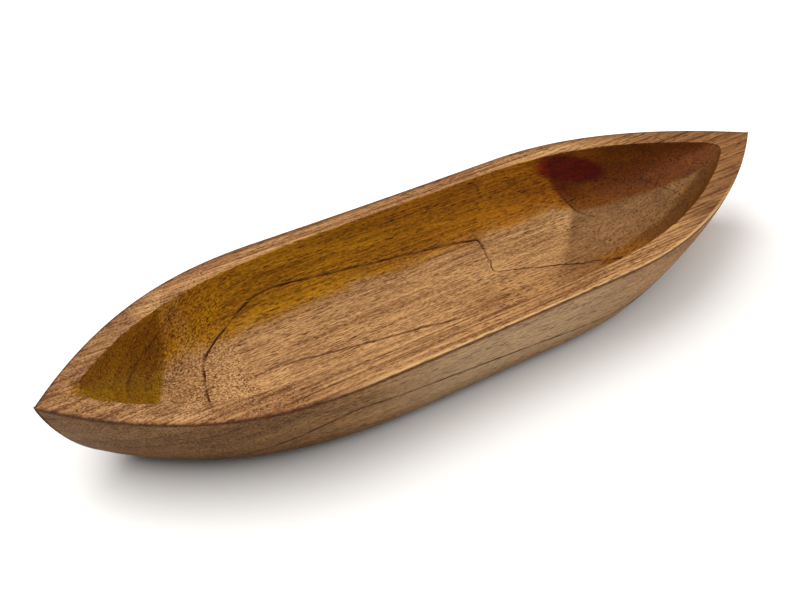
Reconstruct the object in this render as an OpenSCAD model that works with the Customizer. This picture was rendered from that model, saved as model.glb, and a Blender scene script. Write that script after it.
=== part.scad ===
// Boat-shaped dish for burning incense or herbs, dug out of one solid block of teak.
// Origin at the middle of the flat base. +X runs to the slimmer end, +Y is the thin-walled
// side, +Z is up. All lengths in millimetres.

/* [Overall size] */
// Length from tip to tip
dish_l = 300; // [240:5:360]
// Beam over the rim at its widest
dish_w = 84; // [72:0.5:100]
// Height from the base to the rim
dish_h = 33; // [30:0.5:45]
// How far the two tips stand to the +Y side of the middle of the dish
tip_bow = 3; // [0:0.1:6]

/* [Rim outline] */
// Part of the full end's half length that runs parallel before the side turns in
full_run = 0.38; // [0.15:0.01:0.5]
// Part of the slim end's half length that runs parallel before the side turns in
slim_run = 0.31; // [0.15:0.01:0.5]
// Roundness of the full end's shoulder
full_round = 2.4; // [1.8:0.05:3.2]
// Roundness of the slim end's shoulder
slim_round = 2; // [1.8:0.05:3.2]

/* [Hull] */
// Beam of the flat base at its widest
base_w = 68; // [50:1:72]
// Rake of the full end, from the tip in to the base
full_rake = 15.5; // [6:0.5:40]
// How much further the foot of the full end's stem is tucked in
full_tuck = 8; // [0:0.5:12]
// Rake of the slim end, from the tip in to the base
slim_rake = 28.5; // [6:0.5:50]
// Roundness of the side between base and rim, 1 is a straight flare
side_round = 1.65; // [1:0.05:2.5]
// Roundness of the full end's shoulder down at the base
full_base_round = 3.6; // [1.8:0.1:4]
// Roundness of the slim end's shoulder down at the base
slim_base_round = 2; // [1.8:0.1:4]
// Radius of the turn from the side into the base
bilge_r = 6.5; // [2:0.5:8]

/* [Mouth] */
// Width of the rim along the straight part of the thin-walled side
rim_w = 7; // [5:0.5:10]
// Solid wood between the full end's tip and the mouth
full_lip = 13.5; // [10:0.5:22]
// Solid wood between the slim end's tip and the mouth
slim_lip = 18.5; // [10:0.5:26]
// Length over which each end of the mouth is rounded off
mouth_nose = 4; // [2:0.5:8]
// Extra wood left on the -Y wall, where the gouge stopped short
heavy_wall = 5; // [0:0.5:8]
// Middle of that heavy stretch along the length
heavy_at = -45; // [-80:5:0]
// Half length of that heavy stretch
heavy_reach = 38; // [20:2:60]

/* [Cavity] */
// Depth of the cavity from the rim to the floor
cavity_d = 22; // [12:0.5:24]
// Part of the mouth's half width that is flat floor
floor_part = 0.35; // [0.2:0.01:0.5]
// Roundness of the turn from floor to side wall
cove_round = 3; // [2:0.25:5]
// Length of the scooped ramp at the full end
full_ramp = 30; // [15:1:50]
// Length of the scooped ramp at the slim end
slim_ramp = 68; // [30:1:80]
// Hollow of the full end's ramp, 1 is a straight slope
full_scoop = 1.3; // [1:0.1:2.5]
// Hollow of the slim end's ramp
slim_scoop = 1.6; // [1:0.1:2.5]

/* [Hidden] */
half_l = dish_l / 2;
half_w = dish_w / 2;
floor_z = dish_h - cavity_d;
around = 48;                      // points along each side of a loop
side_levels = 7;                  // loops up the outside
bilge_levels = 4;                 // loops round the edge of the base
stock = 1;                        // wood below the base before it is sanded flat
// Mouth loops, as parts of the mouth's own size, from the rim down to the flat floor
mouth_parts = [1, 0.975, 0.94, 0.9, 0.85, 0.79, 0.71, 0.61, 0.48, 0.33];
wood = [0.62, 0.42, 0.24];

// ---- plan shapes -------------------------------------------------------------------------
// 0 along the parallel run of a side, 1 at its tip
function turn_in(x, tip, run) = min(1, max(0, (abs(x) - run * tip) / (tip - run * tip)));

// Centre line of the dish, bowed so that the tips stand off the middle
function bow(x) = tip_bow * pow(x / half_l, 2);

// Half breadth of the hull at a height, as a part of the way up
function hull_half(x, up) =
    let (rim_p = x < 0 ? full_round : slim_round,
         base_p = x < 0 ? full_base_round : slim_base_round,
         rim_run = x < 0 ? full_run : slim_run,
         base_run = x < 0 ? 0.05 : 0.22,
         run = rim_run * up + base_run * (1 - up),
         w = base_w / 2 + (half_w - base_w / 2) * (1 - pow(1 - up, side_round)))
    w * (1 - pow(turn_in(x, hull_tip(x, up), run), rim_p * up + base_p * (1 - up)));

// Half length of the hull at that height
function hull_tip(x, up) =
    let (rake = x < 0 ? full_rake : slim_rake,
         tuck = x < 0 ? full_tuck : 0)
    half_l - rake * pow(1 - up, 1.4) - tuck * pow(1 - up, 5);

// Half length of the mouth
function mouth_tip(x) = half_l - (x < 0 ? full_lip : slim_lip);

// Half breadth of the mouth, with the heavy stretch on the -Y side. Its sides aim at a point
// past the end, and a short round nose cuts them off.
function mouth_half(x, side) =
    let (run = x < 0 ? 0 : 0.25,
         p = x < 0 ? 4 : 2.25,
         aim = mouth_tip(x) + 3,
         nose = 1 - min(1, (mouth_tip(x) - abs(x)) / mouth_nose),
         extra = side < 0 ? heavy_wall * exp(-pow((x - heavy_at) / heavy_reach, 4)) : 0)
    ((half_w - rim_w) * (1 - pow(turn_in(x, aim, run), p)) - extra) * sqrt(1 - pow(nose, 2));

// ---- cavity surface ----------------------------------------------------------------------
// Depth of the floor line at x, running out up the scooped ramps
function line_depth(x) =
    let (ramp = x < 0 ? full_ramp : slim_ramp,
         s = min(1, max(0, (abs(x) - (mouth_tip(x) - ramp)) / ramp)))
    cavity_d * (1 - pow(s, x < 0 ? full_scoop : slim_scoop));

// Height of the cavity surface at x, out at a part of the mouth's half width there
function cavity_z(x, out) =
    let (rise = pow(max(0, (out - floor_part) / (1 - floor_part)), cove_round))
    dish_h - line_depth(x) * (1 - rise);

// ---- loops -------------------------------------------------------------------------------
// Angle of the k-th point round a loop, the +X tip first
function loop_angle(k) = 180 * k / around;
function loop_side(k) = k <= around ? 1 : -1;

function hull_loop(up, inset) =
    [for (k = [0 : 2 * around - 1])
        let (c = cos(loop_angle(k)),
             x0 = c * hull_tip(c, up),
             y0 = hull_half(x0, up),
             x = c * (hull_tip(c, up) - inset))
        [x, bow(x) + loop_side(k) * max(0, y0 * (1 - inset / (base_w / 2))), dish_h * up]];

function mouth_loop(part) =
    [for (k = [0 : 2 * around - 1])
        let (c = cos(loop_angle(k)),
             side = loop_side(k),
             xm = c * mouth_tip(c),
             x = part * xm,
             y = part * mouth_half(xm, side),
             out = y <= 0 ? 0 : min(1, y / mouth_half(x, side)))
        [x, bow(x) + side * y, cavity_z(x, part == 1 ? 1 : out)]];

// Inset of the base edge at a height within its worn radius
function bilge_inset(z) = bilge_r - sqrt(max(0, pow(bilge_r, 2) - pow(bilge_r - z, 2)));

bilge_loops = [for (j = [0 : bilge_levels - 1])
    let (z = bilge_r * (1 - cos(90 * j / bilge_levels)))
    hull_loop(z / dish_h, bilge_inset(z))];
side_loops = [for (j = [0 : side_levels])
    hull_loop((bilge_r + (dish_h - bilge_r) * j / side_levels) / dish_h, 0)];
inner_loops = [for (part = mouth_parts) mouth_loop(part)];
// A little stock below the base, which the flat cut takes off
stock_loop = [for (p = bilge_loops[0]) p - [0, 0, stock]];
loops = concat([stock_loop], bilge_loops, side_loops, inner_loops);

// ---- parts -------------------------------------------------------------------------------
// One closed skin: stock, bilge, sides, rim, cavity wall, floor
module carved_block() {
    n = 2 * around;
    last = len(loops) - 1;
    polyhedron(
        points = [for (loop = loops) for (p = loop) p],
        faces = concat(
            [[for (k = [0 : n - 1]) k]],
            [for (j = [0 : last - 1]) for (k = [0 : n - 1])
                [j * n + k, (j + 1) * n + k, (j + 1) * n + (k + 1) % n]],
            [for (j = [0 : last - 1]) for (k = [0 : n - 1])
                [j * n + k, (j + 1) * n + (k + 1) % n, j * n + (k + 1) % n]],
            [[for (k = [n - 1 : -1 : 0]) last * n + k]]
        )
    );
}

// The carved block, sanded flat underneath so that it stands
module dish() {
    color(wood)
        intersection() {
            carved_block();
            translate([-half_l - 5, -half_w - 5, 0])
                cube([dish_l + 10, dish_w + 10, dish_h + 5]);
        }
}

dish();
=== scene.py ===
# %% [markdown]
# A boat-shaped dish for burning incense, dug out of one block of teak. On the real object
# there is a single piece of wood: a boat hull outside, a hollow with two scooped ends inside,
# a sanded rim between them and a flat base. Here one closed mesh replaces the plain solid,
# then gets a solid teak texture that runs through it, as the grain runs through the block.

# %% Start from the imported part
import math

import bmesh
import bpy
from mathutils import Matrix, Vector, noise


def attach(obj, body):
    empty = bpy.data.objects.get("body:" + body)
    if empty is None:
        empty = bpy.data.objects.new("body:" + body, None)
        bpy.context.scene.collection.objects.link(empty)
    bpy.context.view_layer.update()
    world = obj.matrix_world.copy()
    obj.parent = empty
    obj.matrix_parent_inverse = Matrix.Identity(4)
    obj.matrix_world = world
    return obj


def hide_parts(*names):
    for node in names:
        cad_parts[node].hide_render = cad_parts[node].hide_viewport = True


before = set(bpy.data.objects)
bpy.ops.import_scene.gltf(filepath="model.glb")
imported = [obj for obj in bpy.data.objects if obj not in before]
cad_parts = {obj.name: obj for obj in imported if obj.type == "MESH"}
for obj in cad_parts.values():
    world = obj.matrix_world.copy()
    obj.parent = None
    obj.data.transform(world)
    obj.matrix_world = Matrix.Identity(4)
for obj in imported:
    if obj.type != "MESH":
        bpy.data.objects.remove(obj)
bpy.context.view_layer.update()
MM = 0.001

# %% [markdown]
# The camera comes first, so that every later step can be looked at from the same place. It is
# a short standard lens held close to the dish, a little above it and off its left quarter, so
# the near end looks larger than the far one. Aiming an object along -Z with Y up is the usual
# way to point a camera at a spot.

# %% Camera
def aimed(obj, place, target):
    """Puts a camera or a light at place, looking at target."""
    obj.location = place
    obj.rotation_euler = (Vector(target) - Vector(place)).to_track_quat("-Z", "Y").to_euler()
    bpy.context.scene.collection.objects.link(obj)
    return obj


def bearing(azimuth, elevation):
    """Unit vector from the dish towards someone standing at that azimuth and elevation."""
    a, e = math.radians(azimuth), math.radians(elevation)
    return Vector((math.sin(a) * math.cos(e), -math.cos(a) * math.cos(e), math.sin(e)))


LENS, SENSOR = 45.0, 36.0             # mm
VIEW_AZIMUTH, VIEW_ELEVATION = -32.0, 40.0     # degrees
VIEW_AWAY = 334.4                     # mm from the point aimed at
AIM_MM = (-31.5, -12.5, 33.0)         # a point level with the rim

lens = bpy.data.cameras.new("camera")
lens.lens, lens.sensor_width = LENS, SENSOR
lens.clip_start = 0.01
aim = Vector(AIM_MM) * MM
camera = aimed(bpy.data.objects.new("camera", lens),
               aim + bearing(VIEW_AZIMUTH, VIEW_ELEVATION) * VIEW_AWAY * MM, aim)
bpy.context.scene.camera = camera
print("camera is", round((camera.location - aim).length / MM), "mm from the point it aims at")

# %% [markdown]
# Colours are picked as sRGB hex, the way a paint chart gives them, but a shader mixes light in
# linear values, so one function turns them. One more function adds a shader node with its
# settings and its links in a single line, which keeps the materials below readable.

# %% Colour and node helpers
def linear(hex_colour):
    """An sRGB hex colour as a linear RGBA tuple."""
    parts = [int(hex_colour[i:i + 2], 16) / 255 for i in (1, 3, 5)]
    return tuple(c / 12.92 if c <= 0.04045 else ((c + 0.055) / 1.055) ** 2.4
                 for c in parts) + (1.0,)


def add(tree, kind, settings=None, **inputs):
    """Adds a node. settings are its properties. inputs are its sockets, by name or as i0, i1
    and so on, each given a value or a socket to link."""
    node = tree.nodes.new(kind)
    for name, value in (settings or {}).items():
        setattr(node, name, value)
    for name, value in inputs.items():
        socket = node.inputs[int(name[1:])] if name[0] == "i" and name[1:].isdigit() else \
            node.inputs[name.replace("_", " ")]
        if isinstance(value, bpy.types.NodeSocket):
            tree.links.new(value, socket)
        else:
            socket.default_value = value
    return node


# %% [markdown]
# The setting is a pale table under a big soft box that hangs behind and to the left. The table
# bounces light up under the flared sides. A wide box gives the soft pool of shadow on the near
# side, and leaves the walls that face the viewer darker than the floor of the hollow.

# %% Table and lights
TABLE_HALF = 4.0                      # m
ROOM_LIGHT = 0.29


def plain_table():
    mesh = bpy.data.meshes.new("table_top")
    bm = bmesh.new()
    bmesh.ops.create_grid(bm, x_segments=1, y_segments=1, size=TABLE_HALF)
    bm.to_mesh(mesh)
    bm.free()
    top = bpy.data.objects.new("table_top", mesh)
    bpy.context.scene.collection.objects.link(top)
    paint = bpy.data.materials.new("white_laminate")
    paint.use_nodes = True
    shader = paint.node_tree.nodes["Principled BSDF"]
    shader.inputs["Base Color"].default_value = linear("#f2f1ef")
    shader.inputs["Roughness"].default_value = 0.7
    shader.inputs["Specular IOR Level"].default_value = 0.2
    mesh.materials.append(paint)
    return top


def soft_box(name, place, size, watts, colour="#ffffff"):
    lamp = bpy.data.lights.new(name, "AREA")
    lamp.shape, lamp.size, lamp.energy = "DISK", size, watts
    lamp.color = linear(colour)[:3]
    return aimed(bpy.data.objects.new(name, lamp), place, (0, 0, 0.02))


plain_table()
soft_box("key_box", (-0.55, 0.80, 1.30), 2.6, 40)
soft_box("top_box", (0.0, -0.2, 1.7), 2.4, 15)
soft_box("fill_box", (1.40, -0.60, 0.65), 1.2, 10)
world = bpy.data.worlds.new("room")
world.use_nodes = True
world.node_tree.nodes["Background"].inputs["Color"].default_value = linear("#fbfaf8")
world.node_tree.nodes["Background"].inputs["Strength"].default_value = ROOM_LIGHT
bpy.context.scene.world = world
bpy.context.scene.view_settings.view_transform = "Standard"

# %% [markdown]
# The shape. A boatbuilder draws the hull as a stack of level lines, one outline at each height.
# Each line here has the same recipe: a parallel middle, then two ends that turn in to a point.
# Higher lines are longer and wider, which makes the raked ends and the flared sides. These
# numbers are the solid's own, in millimetres.

# %% Level lines of the hull
HALF_L, HALF_W, DISH_H = 150.0, 42.0, 33.0
BASE_HALF, BILGE_R, TIP_BOW = 34.0, 6.5, 3.0
FULL, SLIM = 0, 1                     # the -X end and the +X end
RUN, BASE_RUN = (0.38, 0.31), (0.05, 0.22)     # parallel part of each half, at rim and base
ROUND, BASE_ROUND = (2.4, 2.0), (3.6, 2.0)     # roundness of each shoulder, at rim and base
RAKE, TUCK = (15.5, 28.5), (8.0, 0.0)          # overhang of each tip, and tuck of its foot
RAKE_CURVE, TUCK_CURVE = 1.4, 5                # how late each of those sets in, going down
SIDE_ROUND = 1.65                     # 1 would be a straight flare
TIP_R = 1.3                           # the tips are worn round


def end_of(x):
    return FULL if x < 0 else SLIM


def bow(x):
    """The tips stand off the middle of the dish, to the far side."""
    return TIP_BOW * (x / HALF_L) ** 2


def turn_in(x, tip, run):
    """0 along the parallel run of a side, 1 at its tip."""
    return min(1.0, max(0.0, (abs(x) - run * tip) / (tip - run * tip)))


def worn_tip(x, tip, radius):
    """Falls from 1 to 0 over the last few millimetres, as a quarter circle."""
    t = min(1.0, max(0.0, (tip - abs(x)) / radius))
    return math.sqrt(1.0 - (1.0 - t) ** 2)


def hull_tip(x, up):
    end = end_of(x)
    return HALF_L - RAKE[end] * (1.0 - up) ** RAKE_CURVE - TUCK[end] * (1.0 - up) ** TUCK_CURVE


def hull_half(x, up):
    end, tip = end_of(x), hull_tip(x, up)
    wide = BASE_HALF + (HALF_W - BASE_HALF) * (1.0 - (1.0 - up) ** SIDE_ROUND)
    run = RUN[end] * up + BASE_RUN[end] * (1.0 - up)
    power = ROUND[end] * up + BASE_ROUND[end] * (1.0 - up)
    return wide * (1.0 - turn_in(x, tip, run) ** power) * worn_tip(x, tip, TIP_R)


print("beam at the rim:", 2 * hull_half(0, 1.0), "mm, at the base:", 2 * hull_half(0, 0.0))

# %% [markdown]
# The hollow is cut with gouges: straight down the middle it is level, and at each end it runs
# out up a scooped ramp. Across the hollow a cove joins the flat floor to the steep wall. So one
# function gives how deep the middle is at x, and another how far the surface has climbed
# towards the wall.

# %% Mouth and hollow
RIM_W, LIP, NOSE = 7.0, (13.5, 18.5), 4.0      # rim's width, solid wood at each tip, its nose
AIM_PAST = 3.0                        # the sides aim at a point this far past the mouth's end
HEAVY, HEAVY_AT, HEAVY_REACH = 5.0, -45.0, 38.0    # extra wood left on the near wall
HOLLOW, FLOOR_PART, COVE = 22.0, 0.35, 3.0     # depth, flat part of the floor, its turn up
RAMP, RAMP_ROUND = (30.0, 68.0), (1.3, 1.6)
MOUTH_RUN, MOUTH_ROUND = (0.0, 0.25), (4.0, 2.25)


def mouth_tip(x):
    return HALF_L - LIP[end_of(x)]


def mouth_half(x, side):
    end = end_of(x)
    turned = turn_in(x, mouth_tip(x) + AIM_PAST, MOUTH_RUN[end]) ** MOUTH_ROUND[end]
    plain = (HALF_W - RIM_W) * (1.0 - turned)
    extra = HEAVY * math.exp(-((x - HEAVY_AT) / HEAVY_REACH) ** 4) if side < 0 else 0.0
    return (plain - extra) * worn_tip(x, mouth_tip(x), NOSE)


def line_depth(x):
    end = end_of(x)
    s = min(1.0, max(0.0, (abs(x) - (mouth_tip(x) - RAMP[end])) / RAMP[end]))
    return HOLLOW * (1.0 - s ** RAMP_ROUND[end])


def hollow_z(x, out):
    rise = max(0.0, (out - FLOOR_PART) / (1.0 - FLOOR_PART)) ** COVE
    return DISH_H - line_depth(x) * (1.0 - rise)


print("wood under the hollow:", DISH_H - HOLLOW, "mm")

# %% [markdown]
# The mesh starts as one ring of edges, the outline of the base. Each extrusion of that ring
# makes the next level line: up round the bilge, up the side, in over the rim, down the wall of
# the hollow, and in across its floor until the two sides meet on the centre line. Every vertex
# carries its place in the ring in a layer, so a new ring knows where its points belong.

# %% Ring points
AROUND = 360                          # points along each side of a ring


def ring_angle(k):
    return math.cos(math.pi * k / AROUND), (1 if k <= AROUND else -1)


def hull_point(k, z, inset=0.0):
    c, side = ring_angle(k)
    up = z / DISH_H
    x0 = c * hull_tip(c, up)
    y0 = hull_half(x0, up) * (1.0 - inset / BASE_HALF)
    x = c * (hull_tip(c, up) - inset)
    return Vector((x, bow(x) + side * y0, z))


def hollow_point(k, part):
    c, side = ring_angle(k)
    xm = c * mouth_tip(c)
    x, y = part * xm, part * mouth_half(xm, side)
    here = mouth_half(x, side)
    out = 1.0 if part == 1.0 else (min(1.0, y / here) if here > 1e-6 else 0.0)
    return Vector((x, bow(x) + side * y, hollow_z(x, out)))


def rim_point(k, t):
    return hull_point(k, DISH_H).lerp(hollow_point(k, 1.0), t)


# %% Rings in order
BILGE_STEPS, SIDE_STEPS, RIM_STEPS, HOLLOW_STEPS = 8, 26, 7, 56
CROWDING = 1.35                       # rings of the hollow lie closer together at the lip
rings = []
for j in range(BILGE_STEPS):
    turn = math.pi / 2 * j / BILGE_STEPS
    height, inset = BILGE_R * (1 - math.cos(turn)), BILGE_R * (1 - math.sin(turn))
    rings.append(("bilge", lambda k, z=height, i=inset: hull_point(k, z, i)))
for j in range(SIDE_STEPS + 1):
    height = BILGE_R + (DISH_H - BILGE_R) * j / SIDE_STEPS
    rings.append(("side" if j < SIDE_STEPS else "arris", lambda k, z=height: hull_point(k, z)))
for j in range(1, RIM_STEPS + 1):
    rings.append(("rim" if j < RIM_STEPS else "lip", lambda k, t=j / RIM_STEPS: rim_point(k, t)))
for j in range(1, HOLLOW_STEPS + 1):
    part = 1.0 - (j / HOLLOW_STEPS) ** CROWDING
    rings.append(("hollow", lambda k, p=part: hollow_point(k, p)))
print(len(rings), "rings of", 2 * AROUND, "points")

# %% Extrude the rings
WELD = 0.004                          # mm; closes the tips and the middle of the floor


def carved_shell():
    bm = bmesh.new()
    place = bm.verts.layers.int.new("place")
    level = bm.verts.layers.int.new("level")
    first = bmesh.ops.create_circle(bm, cap_ends=True, segments=2 * AROUND, radius=1.0)["verts"]
    for v in first:
        v[place] = round(math.atan2(v.co.y, v.co.x) / math.pi * AROUND) % (2 * AROUND)
        v.co = rings[0][1](v[place])
    edges = list(bm.edges)
    for number, (name, point) in enumerate(rings[1:], 1):
        made = bmesh.ops.extrude_edge_only(bm, edges=edges)["geom"]
        edges = [g for g in made if isinstance(g, bmesh.types.BMEdge)]
        for v in (g for g in made if isinstance(g, bmesh.types.BMVert)):
            v[level] = number
            v.co = point(v[place])
    bmesh.ops.remove_doubles(bm, verts=bm.verts, dist=WELD)
    bmesh.ops.recalc_face_normals(bm, faces=bm.faces)
    return bm, level


shell, LEVEL = carved_shell()
print(len(shell.verts), "vertices, open edges:", sum(e.is_boundary for e in shell.edges))
print("volume, cm3:", round(shell.calc_volume() / 1000, 1))

# %% [markdown]
# A hand tool leaves its mark. The wall of the hollow wanders a little where one gouge cut met
# the next, the floor keeps a few shallow scoops, and the outside is only as fair as an eye could
# make it. Each vertex moves along its normal by a fraction of a millimetre. The amount comes
# from smooth noise, stretched along the grain, and dies away at the lip so that it stays crisp.

# %% Marks of the carving
LEVELS = [name for name, _ in rings]


def smooth(start, end, v):
    """0 before start, 1 past end, eased between them. It runs backwards if start is past end."""
    t = min(1.0, max(0.0, (v - start) / (end - start)))
    return t * t * (3.0 - 2.0 * t)


def scoop(p, at, reach, deep):
    """A shallow dip left by one stroke of a wide gouge."""
    r2 = sum(((a - b) / c) ** 2 for a, b, c in zip(p.xy, at, reach))
    return -deep * math.exp(-r2)


def toe_of_long_ramp(y):
    """Where along x the cut of the long ramp starts."""
    return 71.0 - max(0.0, 19.0 - y) - 0.6 * max(0.0, y - 21.0)


SLOW, CUTS = 0.30, 0.12               # mm; the wander of a wall, and of one cut
ENTRY = 0.7                           # mm; the gouge dug in where the long ramp starts
STROKES = (((-79, -2), (8, 6), 0.8), ((48, 4), (15, 8), 0.35), ((86, 10), (10, 6), 0.3))
NICKS = (((-138.0, 3.2), (2.6, 3.0), 1.3), ((127.5, 1.0), (2.2, 1.2), 0.7))
FAIR, OVERCUT = 0.26, 0.12            # mm; the outside's unevenness, and how much is taken off


def in_hollow(p):
    toe = toe_of_long_ramp(p.y)
    entry = -ENTRY * smooth(toe - 1.0, toe + 3.0, p.x) * smooth(toe + 30.0, toe + 5.0, p.x) * \
        smooth(21.0, 14.0, p.z)
    slow = SLOW * noise.noise(Vector((p.x / 26, p.y / 13, p.z / 13)))
    cuts = CUTS * noise.noise(Vector((p.x / 9, p.y / 5, p.z / 5 + 9)))
    strokes = sum(scoop(p, *stroke) for stroke in STROKES) + entry
    return (slow + cuts + strokes) * smooth(0.0, 5.0, DISH_H - p.z)


def on_rim(p):
    """The gouge nicked the lip where it came out at the two ends."""
    nick = sum(scoop(p, *stroke) for stroke in NICKS)
    return nick + 0.05 * noise.noise(Vector((p.x / 7, p.y / 4, 3.0)))


def on_side(p):
    fair = FAIR * noise.noise(Vector((p.x / 40, p.y / 20 + 5, p.z / 16))) - OVERCUT
    return fair * smooth(0.0, 4.0, p.z) * smooth(0.0, 4.0, DISH_H - p.z)


def carve_marks(bm):
    bm.normal_update()
    marks = {"hollow": in_hollow, "side": on_side, "bilge": on_side}
    for v in bm.verts:
        if LEVELS[v[LEVEL]] in ("rim", "lip"):
            v.co.z += min(0.0, on_rim(v.co))
    steps = {v: v.normal * marks[LEVELS[v[LEVEL]]](v.co)
             for v in bm.verts if LEVELS[v[LEVEL]] in marks and v.co.z > 0.02}
    for v, step in steps.items():
        v.co += step
    return max(step.length for step in steps.values())


print("deepest mark of the carving:", round(carve_marks(shell), 2), "mm")

# %% [markdown]
# Sandpaper rounds every sharp corner a little. The two arrises of the rim are the edges that
# fingers meet, so they get a small bevel with a few segments: wide enough to catch a line of
# light, too small to change the outline.

# %% Ease the rim
def ease(bm, name, width):
    wanted = [e for e in bm.edges if all(LEVELS[v[LEVEL]] == name for v in e.verts)]
    bmesh.ops.bevel(bm, geom=wanted, offset=width, affect="EDGES", segments=3, profile=0.5,
                    material=-1)
    return len(wanted)


OUTER_EASE, INNER_EASE = 0.4, 0.35    # mm
print("eased", ease(shell, "arris", OUTER_EASE), "outer and",
      ease(shell, "lip", INNER_EASE), "inner edges")

# %% [markdown]
# The finished shell becomes the dish itself: one piece, smooth shaded, in metres, standing at
# the origin. It takes the place of the plain solid and rides on the same body, because nothing
# on the real dish moves or comes apart.

# %% Make the dish object
def finished(bm, name):
    for f in bm.faces:
        f.smooth = True
    bmesh.ops.scale(bm, vec=(MM, MM, MM), verts=bm.verts)
    mesh = bpy.data.meshes.new(name)
    bm.to_mesh(mesh)
    bm.free()
    obj = bpy.data.objects.new(name, mesh)
    bpy.context.scene.collection.objects.link(obj)
    return obj


dish = finished(shell, "carved_dish")
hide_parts("dish")
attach(dish, "root")
print("triangles:", sum(len(p.vertices) - 2 for p in dish.data.polygons))

# %% [markdown]
# Oil does not dry to one colour. Where the gouge crossed the grain, the open ends of the fibres
# drink more and go dark: the far wall, the short ramp at the full end and the walls of the slim
# end, which carry painted shade as well. A resin patch went maroon. The near outer arris has a
# painted highlight with a dark line under it. Painted shade makes the outside darker and greyer
# towards the full end and darkens the foot and the near part of the floor, and the outside is
# paler at its middle. Each of these zones is painted on the mesh as one weight, which the finish
# reads as an attribute.

# %% Zones of the finish
OUTER_BAND = 2.5                      # mm; nearer the outline than this is side or arris
LOWEST_FLOOR = 8.0                    # mm; all of the hollow lies above this


def between(a, b, t):
    return a + (b - a) * t


def to_edge(p):
    """How far a point lies inside the hull's outline at its own height."""
    return hull_half(p.x, min(1.0, p.z / DISH_H)) - abs(p.y - bow(p.x))


def inside(p):
    """Whether a point is in the hollow, below the rim."""
    return to_edge(p) > OUTER_BAND and LOWEST_FLOOR < p.z < DISH_H - 0.05 and \
        abs(p.x) < mouth_tip(p.x) + 0.6


def short_ramp(p):
    toe = -112.5 + 0.5 * (p.y - 5.0)
    return smooth(toe + 2.2, toe - 2.2, p.x) if inside(p) else 0.0


def long_ramp(p):
    if not inside(p):
        return 0.0
    toe = toe_of_long_ramp(p.y)
    deepening = between(0.75, 0.9, smooth(75.0, 105.0, p.x))
    far_half = 0.45 + 0.55 * smooth(-14.0, 6.0, p.y)
    return smooth(toe - 1.5, toe + 3.0, p.x) * deepening * far_half


def soaked_and_shaded(p):
    """The far wall, and in the slim end all but a light patch down the middle of the ramp:
    oil-darkened end grain, with painted shade over it.
    """
    if not inside(p):
        spill = math.hypot((p.x + 136.5) / 4.0, (p.y - 4.2) / 3.0)
        return 0.8 * smooth(1.0, 0.2, spill) if p.z > 30.0 else 0.0
    slim, reach = smooth(50.0, 80.0, p.x), max(1.0, mouth_half(p.x, 1))
    patch_top = 18.8 - 0.48 * (p.x - 71.3)
    patch_foot = -8.5 + 0.30 * max(0.0, p.x - 92.0)
    far = smooth(between(0.50 * reach, patch_top - 3.0, slim),
                 between(0.84 * reach, patch_top + 3.5, slim), p.y - bow(p.x))
    near = smooth(patch_foot + 2.0, patch_foot - 4.0, p.y) * smooth(50.0, 72.0, p.x)
    full = between(1.0, 0.72, smooth(-82.0, -98.0, p.x))
    return max(far * full, near, smooth(114.0, 125.0, p.x))


# Painted shade on the near part of the floor, growing towards the slim end.
def near_floor_shade(p):
    if not inside(p):
        return 0.0
    to_slim_end = 0.5 * smooth(-5.0, 20.0, p.x) + 0.5 * smooth(40.0, 60.0, p.x)
    return smooth(4.0, -11.0, p.y) * to_slim_end


def open_grain(p):
    return smooth(-72.0, -90.0, p.x) * (1.0 - 0.6 * short_ramp(p)) if inside(p) else 0.0


def resin(p):
    if not inside(p) or p.y < 8:
        return 0.0
    off_middle = (p.z - 26.4 + 0.22 * (p.x - 75.0)) / 5.6
    patch = smooth(1.3, 0.6, math.hypot((p.x - 75.0) / 15.5, off_middle)) * \
        between(0.8, 1.0, smooth(60.0, 74.0, p.x))
    halo = smooth(1.6, 0.6, math.hypot((p.x - 90.0) / 17.0, off_middle))
    toe = toe_of_long_ramp(p.y)
    tail = smooth(toe - 1.5, toe + 1.0, p.x) * smooth(toe + 16.0, toe + 3.0, p.x) * \
        smooth(12.5, 17.0, p.z)
    return max(patch, 0.28 * halo, 0.5 * tail)


def arris_highlight(p):
    """The near outer arris, with a painted highlight along it."""
    if p.y >= bow(p.x):
        return 0.0
    along_side = smooth(-80.0, -45.0, p.x) * smooth(125.0, 95.0, p.x)
    return along_side * smooth(1.1, 0.4, to_edge(p)) * smooth(DISH_H - 0.5, DISH_H - 0.1, p.z)


def arris_dark_line(p):
    """The dark line under the outer arris. On the far side and at the full end it is on it too."""
    if to_edge(p) > OUTER_BAND:
        return 0.0
    under = smooth(DISH_H - 1.8, DISH_H - 0.9, p.z) * smooth(DISH_H - 0.1, DISH_H - 0.4, p.z)
    near = p.y < bow(p.x)
    over = smooth(0.8 if near else 1.6, 0.2, to_edge(p)) * smooth(DISH_H - 0.5, DISH_H - 0.1, p.z)
    return max(under, over * (0.6 * smooth(-50.0, -80.0, p.x) if near else 1.0))


# Painted shade on the outside below the rim, full at the full end and slight at the slim end.
def outer_side_shade(p):
    if inside(p) or (to_edge(p) > OUTER_BAND and p.z > LOWEST_FLOOR):
        return 0.0
    return smooth(DISH_H - 0.3, DISH_H - 1.2, p.z) * (1.0 - 0.85 * smooth(-130.0, 60.0, p.x))


def paler_middle(p):
    if inside(p):
        return 0.0
    return smooth(-70.0, -20.0, p.x) * smooth(85.0, 15.0, p.x) * \
        smooth(DISH_H - 0.3, DISH_H - 1.2, p.z)


# Painted shade towards the base, where the hull curves under and meets the table.
def foot(p):
    return 0.0 if inside(p) else smooth(15.0, 0.0, p.z)


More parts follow.
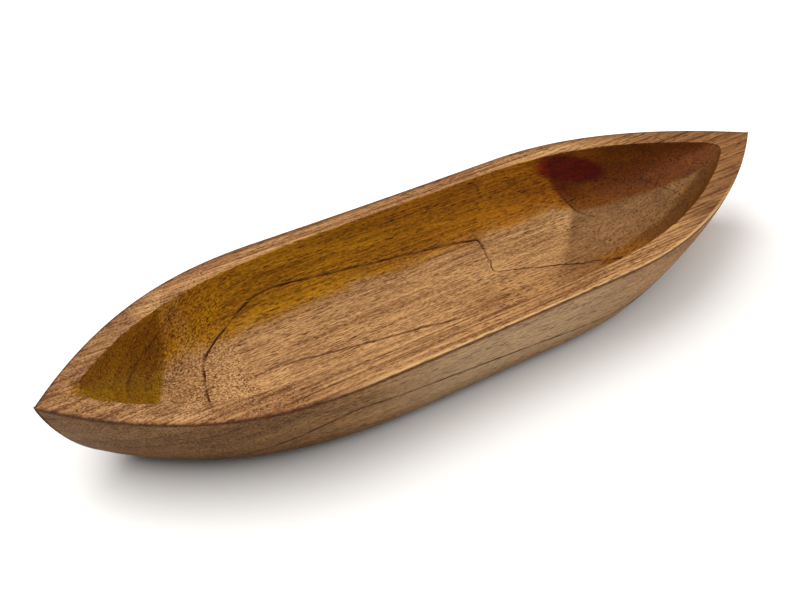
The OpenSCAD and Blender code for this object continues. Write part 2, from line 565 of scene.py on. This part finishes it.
def rim(p):
    """How much darker the rim is than bare wood. It is palest on the inner part of its far side,
    a painted highlight along the lip.
    """
    if p.y > bow(p.x):
        start = between(1.0, 3.0, smooth(-50.0, -90.0, p.x))
        worn = between(0.6, 0.1, smooth(start, start + 2.5, to_edge(p)))
    else:
        worn = between(0.35, 0.03, smooth(-70.0, 10.0, p.x))
    worn = between(worn, 0.5 if p.y > bow(p.x) else 0.3, smooth(-104.0, -112.0, p.x))
    worn = between(worn, 0.85, smooth(70.0, 108.0, p.x)) + 0.3 * smooth(110.0, 135.0, p.x)
    return smooth(DISH_H - 0.4, DISH_H - 0.05, p.z) * worn


def paint_zones(obj, zones):
    points = [v.co / MM for v in obj.data.vertices]
    for name, weight in zones.items():
        values = [weight(p) for p in points]
        obj.data.attributes.new(name, "FLOAT", "POINT").data.foreach_set("value", values)
        print(name, "covers", round(100 * sum(values) / len(values)), "% of the vertices")


paint_zones(dish, {"short_ramp": short_ramp, "long_ramp": long_ramp, "soaked_and_shaded": soaked_and_shaded,
                   "open_grain": open_grain, "near_floor_shade": near_floor_shade, "resin": resin,
                   "arris_highlight": arris_highlight, "arris_dark_line": arris_dark_line, "outer_side_shade": outer_side_shade,
                   "paler_middle": paler_middle, "foot": foot, "rim": rim})

# %% [markdown]
# Teak is a solid texture: the growth rings are long tubes round the pith, which lay about 95 mm
# under this block, so they cut the floor in long arches and the walls in level lines. Near the
# full end the trunk leaned, and over the slim half a ring swells up into the floor. Distances in
# this material are millimetres, taken from the object's own coordinates.

# %% Teak: small tools for the node tree
teak = bpy.data.materials.new("oiled_teak")
teak.use_nodes = True
wood = teak.node_tree


def number(operation, *values):
    """A Math node; values are numbers or sockets."""
    return add(wood, "ShaderNodeMath", {"operation": operation},
               **{f"i{i}": v for i, v in enumerate(values)}).outputs[0]


def grain_noise(vector, stretch, detail=2.0, rough=0.5):
    """Noise from 0 to 1 with one size in millimetres for each axis."""
    scaled = add(wood, "ShaderNodeVectorMath", {"operation": "DIVIDE"}, i0=vector, i1=stretch)
    return add(wood, "ShaderNodeTexNoise", Vector=scaled.outputs[0], Scale=1.0, Detail=detail,
               Roughness=rough).outputs[0]


def remap(value, start, end, low=0.0, high=1.0, kind="SMOOTHSTEP"):
    return add(wood, "ShaderNodeMapRange", {"interpolation_type": kind}, i0=value,
               i1=start, i2=end, i3=low, i4=high).outputs[0]


def tint(colour, factor, by, blend="MULTIPLY"):
    """Blends a hex colour, or another socket, over a colour."""
    return add(wood, "ShaderNodeMix", {"data_type": "RGBA", "blend_type": blend}, i0=factor,
               i6=colour, i7=linear(by) if isinstance(by, str) else by).outputs[2]


def zone(name, ragged=0.0, grit=None):
    """A painted zone; its edge is broken up by the grain."""
    weight = add(wood, "ShaderNodeAttribute", {"attribute_name": name}).outputs["Fac"]
    if not ragged:
        return weight
    worn = number("ADD", weight, number("MULTIPLY", number("SUBTRACT", grit, 0.5), ragged))
    return number("MULTIPLY", remap(worn, 0.15, 0.85), remap(weight, 0.0, 0.12))


# %% Teak: growth rings
RING = 7.0                            # mm from one growth ring to the next
PITH_ASIDE, PITH_BELOW = 6.0, 95.0    # mm from the middle of the base to the pith
YEAR_0 = 117.0                        # mm from the pith to where year 0 begins
LEAN, LEAN_FROM = -0.5, -40.0         # slope and offset: the fibres dip towards the full end
DIP, DIP_FROM = -0.62, -40.9          # and the rings dip there too, more steeply
DIP_STARTS = -66.0                    # x where that dip begins
TAPER = 0.11                          # all along, the rings dip a little to the slim end

object_mm = add(wood, "ShaderNodeVectorMath", {"operation": "SCALE"}, Scale=1000.0,
                i0=add(wood, "ShaderNodeTexCoord").outputs["Object"]).outputs[0]
at_x, at_y, at_z = add(wood, "ShaderNodeSeparateXYZ", i0=object_mm).outputs
lean = number("MAXIMUM", number("MULTIPLY_ADD", at_x, LEAN, LEAN_FROM), 0.0)
along = add(wood, "ShaderNodeCombineXYZ", i0=at_x, i1=at_y,
            i2=number("ADD", at_z, lean)).outputs[0]
from_pith = add(wood, "ShaderNodeCombineXYZ", i1=number("ADD", at_y, PITH_ASIDE),
                i2=number("ADD", at_z, PITH_BELOW)).outputs[0]
radius = add(wood, "ShaderNodeVectorMath", {"operation": "LENGTH"}, i0=from_pith).outputs["Value"]
end_dip = number("SMOOTH_MAX", number("MULTIPLY_ADD", at_x, DIP, DIP_FROM), 0.0, 8.0)
bend = number("ADD", end_dip, number("MULTIPLY_ADD", at_x, TAPER, 2.2))
behind = number("SUBTRACT", number("MULTIPLY_ADD", at_y, 0.45, 19.4), at_x)
beside = number("SUBTRACT", number("MULTIPLY_ADD", at_x, -0.37, 13.0), at_y)
swell = number("ADD", number("SMOOTH_MAX", behind, beside, 3.0),
               number("MULTIPLY_ADD", grain_noise(along, (5, 4, 4), 2.0), 2.4, -1.2))
wander = number("MULTIPLY", number("SUBTRACT", grain_noise(along, (45, 14, 14), 2.0), 0.5), 1.6)
out_from_pith = number("ADD", number("ADD", radius, bend), remap(swell, -2.0, 4.0, 8.0, 0.0))
growth = number("DIVIDE", number("ADD", out_from_pith, number("SUBTRACT", wander, YEAR_0)), RING)
year = number("FLOOR", growth)
season = number("FRACT", growth)
third_year = number("COMPARE", number("WRAP", year, 3.0, 0.0), 0.0, 0.5)
dry_year = number("ADD", number("COMPARE", year, 0.0, 0.5), number("MULTIPLY", third_year, 0.5))
year_tone = number("MULTIPLY", remap(swell, -1.0, 4.0, 0.15, 1.0), add(
    wood, "ShaderNodeTexWhiteNoise", {"noise_dimensions": "1D"}, W=year).outputs["Value"])
broken = remap(grain_noise(along, (14, 3, 3), 2.0), 0.35, 0.60, 0.45, 1.0)

# A ring that meets the surface at a low angle would draw a wide band. So the distance past
# the ring is divided by the sine of that angle, which turns it into a distance along the
# surface, and the line stays about equally thin on floor and wall.
outward = add(wood, "ShaderNodeVectorMath", {"operation": "NORMALIZE"}, i0=from_pith).outputs[0]
tilt = number("MULTIPLY_ADD", number("LESS_THAN", at_x, DIP_STARTS), DIP, TAPER)
uphill = add(wood, "ShaderNodeVectorMath", {"operation": "ADD"}, i0=outward,
             i1=add(wood, "ShaderNodeCombineXYZ", i0=tilt).outputs[0]).outputs[0]
crossing = add(wood, "ShaderNodeVectorMath", {"operation": "CROSS_PRODUCT"}, i0=uphill,
               i1=add(wood, "ShaderNodeTexCoord").outputs["Normal"]).outputs[0]
slant = add(wood, "ShaderNodeVectorMath", {"operation": "LENGTH"}, i0=crossing).outputs["Value"]
swell_slope = remap(number("ABSOLUTE", number("SUBTRACT", swell, 1.0)), 0.0, 3.2, 1.8, 0.04)
slant = number("ADD", slant, swell_slope)
past_line = number("DIVIDE", number("MULTIPLY", season, RING), slant)
strength = number("MULTIPLY_ADD", dry_year, 0.60, number("MULTIPLY_ADD", year_tone, 0.20, 0.05))
ring_line = number("MULTIPLY",
                   number("MULTIPLY", remap(past_line, 0.3, 1.3, 1.0, 0.0), broken), strength)

# %% Teak: dark hairlines
def hairline(start, end, wide=0.55):
    """A thin dark line on the plan, from start to end. It wanders, and fades at both ends."""
    run = Vector(end) - Vector(start)
    ahead = run.normalized()
    gone = add(wood, "ShaderNodeVectorMath", {"operation": "SUBTRACT"}, i0=along,
               i1=(*start, 0.0)).outputs[0]
    gone_ahead, gone_aside = (
        add(wood, "ShaderNodeVectorMath", {"operation": "DOT_PRODUCT"}, i0=gone,
            i1=way).outputs["Value"]
        for way in ((ahead.x, ahead.y, 0.0), (-ahead.y, ahead.x, 0.0)))
    sway = number("MULTIPLY_ADD", grain_noise(along, (16, 8, 8), 3.0), 3.0, -1.5)
    off = number("ABSOLUTE", number("ADD", gone_aside, sway))
    ends = number("MULTIPLY", remap(gone_ahead, 0.0, 6.0),
                  remap(gone_ahead, run.length, run.length - 8.0))
    line = remap(off, wide + 0.25, wide - 0.35)
    return number("MULTIPLY", number("MULTIPLY", line, ends), broken)


ON_FLOOR, UP_THE_RAMP = ((-72, 1.9), (0, -11.4)), ((68, 29), (79, 7))
for start, end in (ON_FLOOR, UP_THE_RAMP):
    ring_line = number("MAXIMUM", ring_line, number("MULTIPLY", hairline(start, end), 0.8))
ring_line = number("MULTIPLY", ring_line, remap(at_z, 31.8, 32.8, 1.0, 0.15))

# %% [markdown]
# Over the rings lie the fibres and the pores. A teak pore is a vessel about 0.25 mm wide. Where
# the surface follows the grain it is cut open lengthwise and shows as a dark dash; where the
# surface crosses the grain it shows as a dot. Cells stretched along the grain give both, with no
# need to say where. They are drawn a little wider than life, so that they survive at this scale.

# %% Teak: fibres and pores
fibre = grain_noise(along, (14.0, 0.55, 0.55), 3.0, 0.65)
hair = grain_noise(along, (30.0, 0.40, 0.40), 1.0)
streak = grain_noise(along, (60, 2.6, 2.6), 3.0)
cloud = grain_noise(along, (38, 22, 12), 1.0)
grit = grain_noise(along, (1.4, 0.6, 0.6), 1.0)
torn = zone("open_grain")


def pores(cell, size):
    scaled = add(wood, "ShaderNodeVectorMath", {"operation": "DIVIDE"}, i0=along, i1=cell)
    cells = add(wood, "ShaderNodeTexVoronoi", Vector=scaled.outputs[0], Scale=1.0)
    return remap(cells.outputs["Distance"], size, size * 0.5)


early = remap(season, 0.55, 0.0, 0.45, 1.0, "LINEAR")
cut_across = number("MULTIPLY", pores((1.2, 1.0, 1.0), 0.29), torn)
cut_along = number("MAXIMUM", pores((8.0, 0.75, 0.75), 0.27), pores((5.0, 0.5, 0.5), 0.30))
pore = number("MULTIPLY", number("MAXIMUM", cut_along, cut_across), early)

# %% [markdown]
# The colour is oiled teak, which the eye knows by a honey brown with a warm, nearly orange dark
# where oil has soaked in. Painted highlights go on the near outer arris and the inner part of
# the far rim, and painted shade on the walls of the hollow, the near floor, the outside and the
# foot. Tones are mixed from light to dark wood first, then each zone tints it, then the pores
# and the ring lines go on top.

# %% Teak: colour
tone = number("ADD", number("MULTIPLY_ADD", hair, 0.30, number("MULTIPLY", fibre, 0.32)),
              number("MULTIPLY_ADD", streak, 0.22, number("MULTIPLY", cloud, 0.16)))
roughness = number("MULTIPLY", remap(torn, 0.0, 1.0, 0.34, 0.85, "LINEAR"),
                   remap(at_x, 62.0, 82.0, 1.0, 0.45))
tone = number("ADD", tone, number("MULTIPLY", number("SUBTRACT", grit, 0.5), roughness))
tone = number("SUBTRACT", tone, number("MULTIPLY", season, 0.05))
tone = number("ADD", tone, number("ADD", number("MULTIPLY", torn, 0.05),
                                  remap(swell, -1.0, 3.0, 0.03, 0.0)))
on_top = remap(at_z, 32.4, 32.9, 0.0, 0.7)
rim_stripe = number("SUBTRACT", grain_noise(along, (60.0, 0.9, 6.0), 2.0), 0.5)
tone = number("MULTIPLY_ADD", rim_stripe, on_top, tone)
colour = tint(linear("#6d4522"), remap(tone, 0.34, 0.63, kind="LINEAR"), "#c39460", "MIX")
colour = tint(colour, number("MULTIPLY", year_tone, 0.45), "#d0b8a2")
# Painted shade on the outside, darker and greyer towards the full end.
colour = tint(colour, zone("outer_side_shade"), "#c8c6ba")
# The outside is made paler over its middle.
colour = tint(colour, number("MULTIPLY", zone("paler_middle"), 0.28), "#e4caa0", "MIX")
# Painted shade on the lower hull, darkest in the last few millimetres above the table.
colour = tint(colour, zone("foot"), "#b8a08a")
# The rim's darker tone, left off the inner part of the far rim as a painted highlight.
colour = tint(colour, zone("rim"), "#b9a797")
colour = tint(colour, number("MULTIPLY", zone("foot"), remap(at_z, 5.0, 0.5)), "#8a6a52")
# Painted shade on the near part of the floor.
colour = tint(colour, zone("near_floor_shade"), "#d8c8aa")
blotch = number("MULTIPLY_ADD", grain_noise(along, (13, 7, 7), 2.0), 0.6,
                number("MULTIPLY", fibre, 0.4))
# Painted shade and oil-darkened end grain on the walls of the hollow, deeper towards the slim end.
soak_and_shade = zone("soaked_and_shaded", 1.1, blotch)
colour = tint(colour, soak_and_shade, "#fbe62a")
to_slim_end = number("MULTIPLY", soak_and_shade, remap(at_x, -40.0, 110.0, kind="LINEAR"))
colour = tint(colour, number("MULTIPLY", to_slim_end, remap(at_y, -8.0, 4.0, 0.25, 1.0)), "#e0b450")
on_long_ramp = number("MULTIPLY", soak_and_shade, remap(at_x, 68.0, 92.0))
colour = tint(colour, number("MULTIPLY", on_long_ramp, remap(at_y, 6.0, -5.0)), "#c4c490")
colour = tint(colour, zone("long_ramp"), "#a09280")
# Painted shade on the short ramp, which faces away from the light, over its darker open end grain.
colour = tint(colour, zone("short_ramp", 0.4, fibre), "#cbc020")
colour = tint(colour, zone("resin", 1.0, blotch), "#d06a3a")
# A painted highlight along the near outer arris.
colour = tint(colour, number("MULTIPLY", zone("arris_highlight"), 0.6), "#d8ae74", "MIX")
# A dark line under the outer arris, and on it along the far side and at the full end.
colour = tint(colour, zone("arris_dark_line"), "#ab8a70")
colour = tint(colour, ring_line, "#6a3f1e")
colour = tint(colour, number("MULTIPLY", pore, 0.9), "#543016")
print("teak uses", len(wood.nodes), "nodes")

# %% [markdown]
# Hand-rubbed oil leaves a satin skin over the wood: the fibres still stand a few hundredths of a
# millimetre proud and the pores stay open, so the shine is broken up along the grain. The index
# of refraction is that of dried oil.

# %% Teak: surface
DRIED_OIL_IOR = 1.47
skin = wood.nodes["Principled BSDF"]
relief = number("SUBTRACT", number("MULTIPLY", fibre, 0.35), pore)
bump = add(wood, "ShaderNodeBump", Height=relief, Strength=0.9, Distance=0.00035)
wood.links.new(colour, skin.inputs["Base Color"])
wood.links.new(remap(fibre, 0.3, 0.7, 0.55, 0.68, "LINEAR"), skin.inputs["Roughness"])
wood.links.new(bump.outputs["Normal"], skin.inputs["Normal"])
skin.inputs["IOR"].default_value = DRIED_OIL_IOR
skin.inputs["Specular IOR Level"].default_value = 0.13
dish.data.materials.append(teak)
